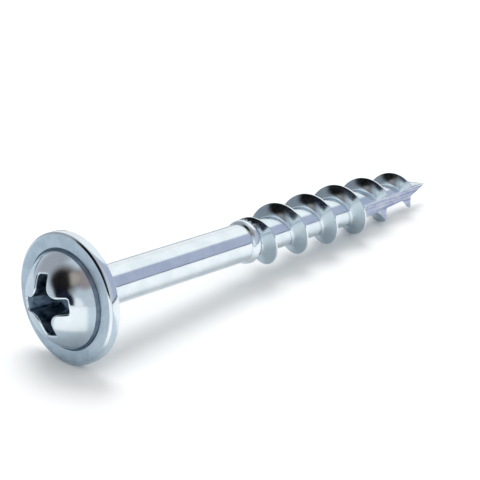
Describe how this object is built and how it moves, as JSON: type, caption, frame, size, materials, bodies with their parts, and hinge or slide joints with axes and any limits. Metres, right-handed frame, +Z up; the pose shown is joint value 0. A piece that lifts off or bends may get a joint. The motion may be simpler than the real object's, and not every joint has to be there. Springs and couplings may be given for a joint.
{
  "type": "pocket hole screw",
  "caption": "Washer-head screw for pocket holes, with a cross recess, a plain shank, a collar, a coarse right-hand thread and a fluted auger point.",
  "frame": {"origin": "centre of the bounding box, on the surface that the screw lies on", "axes": "+X from the head towards the tip, +Z up; the screw lies on its flange rim and its thread, with the tip 4.7 degrees down"},
  "size_m": [0.0408, 0.009, 0.009],
  "materials": {
    "zinc_steel": "bright clear zinc plating on hardened steel"
  },
  "bodies": {
    "root": {"pocket_screw": "zinc_steel"}
  },
  "joints": []
}
